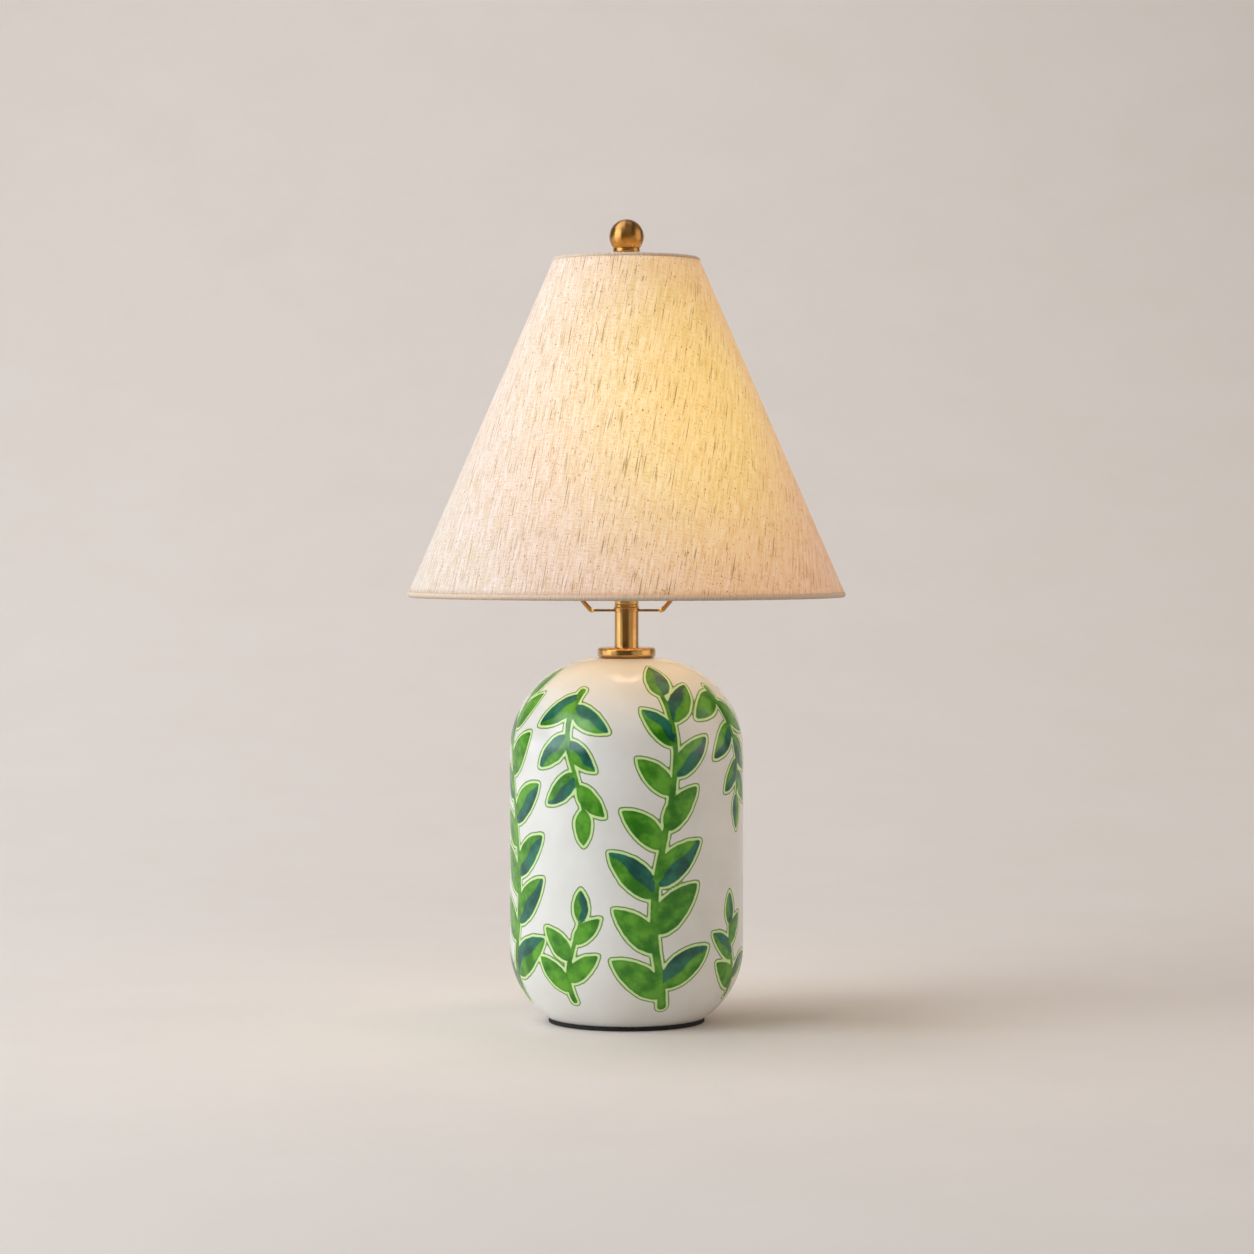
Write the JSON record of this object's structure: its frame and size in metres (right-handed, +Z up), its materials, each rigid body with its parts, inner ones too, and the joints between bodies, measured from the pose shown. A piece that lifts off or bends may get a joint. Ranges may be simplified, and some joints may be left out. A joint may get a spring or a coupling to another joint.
{
  "type": "table lamp",
  "caption": "Pill-shaped glazed ceramic table lamp with a brass neck, a harp, a screw-in bulb, and a linen cone shade held by a ball finial.",
  "frame": {"origin": "centre of the foot, on the table", "axes": "+Z up the lamp's axis; the harp lies in XZ, the switch faces -Y, the cord inlet +Y"},
  "size_m": [0.3052, 0.3052, 0.5591],
  "materials": {
    "glaze": "white gloss glaze with painted leaf sprigs",
    "foot_foam": "matte black pad",
    "black_rubber": "matte",
    "satin_brass": "satin, lightly aged",
    "socket_brass": "bright drawn shell",
    "zinc_steel": "zinc plated",
    "white_wire": "white coated wire",
    "liner_card": "pressed insulating card",
    "phenolic": "moulded phenolic",
    "nickel": "bright formed sheet",
    "frosted_glass": "frosted",
    "clear_glass": "clear",
    "phosphor": "coated filament strips",
    "linen": "slubbed linen",
    "hem_tape": "rolled cloth edge",
    "styrene": "translucent sheet"
  },
  "bodies": {
    "base": {"foot_pad": "foot_foam", "ceramic_body": "glaze", "cord_grommet": "black_rubber", "seat_gasket": "black_rubber", "vase_cap": "satin_brass", "neck_tube": "satin_brass", "threaded_nipple": "zinc_steel", "clamp_washer": "zinc_steel", "lock_washer": "zinc_steel", "clamp_nut": "zinc_steel", "harp_saddle": "satin_brass", "saddle_ring": "satin_brass", "lock_nut": "satin_brass", "socket_cap": "socket_brass", "socket_shell": "socket_brass", "socket_liner": "liner_card", "socket_interior": "phenolic", "screw_shell": "socket_brass", "centre_contact": "socket_brass", "terminal_screws": "socket_brass", "harp_wire": "satin_brass", "harp_stud": "satin_brass"},
    "switch": {"switch_shaft": "socket_brass", "switch_knob": "phenolic"},
    "bulb_tip": {"bulb_contact": "nickel"},
    "bulb": {"bulb_cap": "nickel", "bulb_insulator": "phenolic", "bulb_glass": "frosted_glass", "bulb_stem": "clear_glass", "bulb_filaments": "phosphor"},
    "sleeve_left": {"harp_sleeve_left": "satin_brass"},
    "sleeve_right": {"harp_sleeve_right": "satin_brass"},
    "shade": {"shade_cover": "linen", "shade_backing": "styrene", "top_hem": "hem_tape", "bottom_hem": "hem_tape", "bottom_ring": "zinc_steel", "spider_frame": "white_wire"},
    "finial_base": {"finial_collar": "satin_brass"},
    "finial": {"finial_ball": "satin_brass"}
  },
  "joints": [
    {"name": "shade_turn", "type": "hinge", "parent": "base", "child": "shade", "pos_m": [0, 0, 0.5276], "axis": [0, 0, 1], "continuous": true},
    {"name": "finial_rise", "type": "slide", "parent": "base", "child": "finial_base", "axis": [0, 0, 1], "range_m": [0, 0.0094]},
    {"name": "finial_turn", "type": "hinge", "parent": "finial_base", "child": "finial", "pos_m": [0, 0, 0.547], "axis": [0, 0, 1], "range_deg": [0, 3600]},
    {"name": "bulb_rise", "type": "slide", "parent": "base", "child": "bulb_tip", "axis": [0, 0, 1], "range_m": [0, 0.0145]},
    {"name": "bulb_turn", "type": "hinge", "parent": "bulb_tip", "child": "bulb", "pos_m": [0, 0, 0.41], "axis": [0, 0, 1], "range_deg": [0, 1440]},
    {"name": "switch_turn", "type": "hinge", "parent": "base", "child": "switch", "pos_m": [0, -0.02, 0.3229], "axis": [0, -1, 0], "continuous": true},
    {"name": "sleeve_left_slide", "type": "slide", "parent": "base", "child": "sleeve_left", "axis": [0, 0, 1], "range_m": [0, 0.01]},
    {"name": "sleeve_right_slide", "type": "slide", "parent": "base", "child": "sleeve_right", "axis": [0, 0, 1], "range_m": [0, 0.01]}
  ],
  "couplings": [
    {"joint": "finial_turn", "follows": "finial_rise", "rad_per_m": 6679},
    {"joint": "bulb_turn", "follows": "bulb_rise", "rad_per_m": 1731.4}
  ]
}
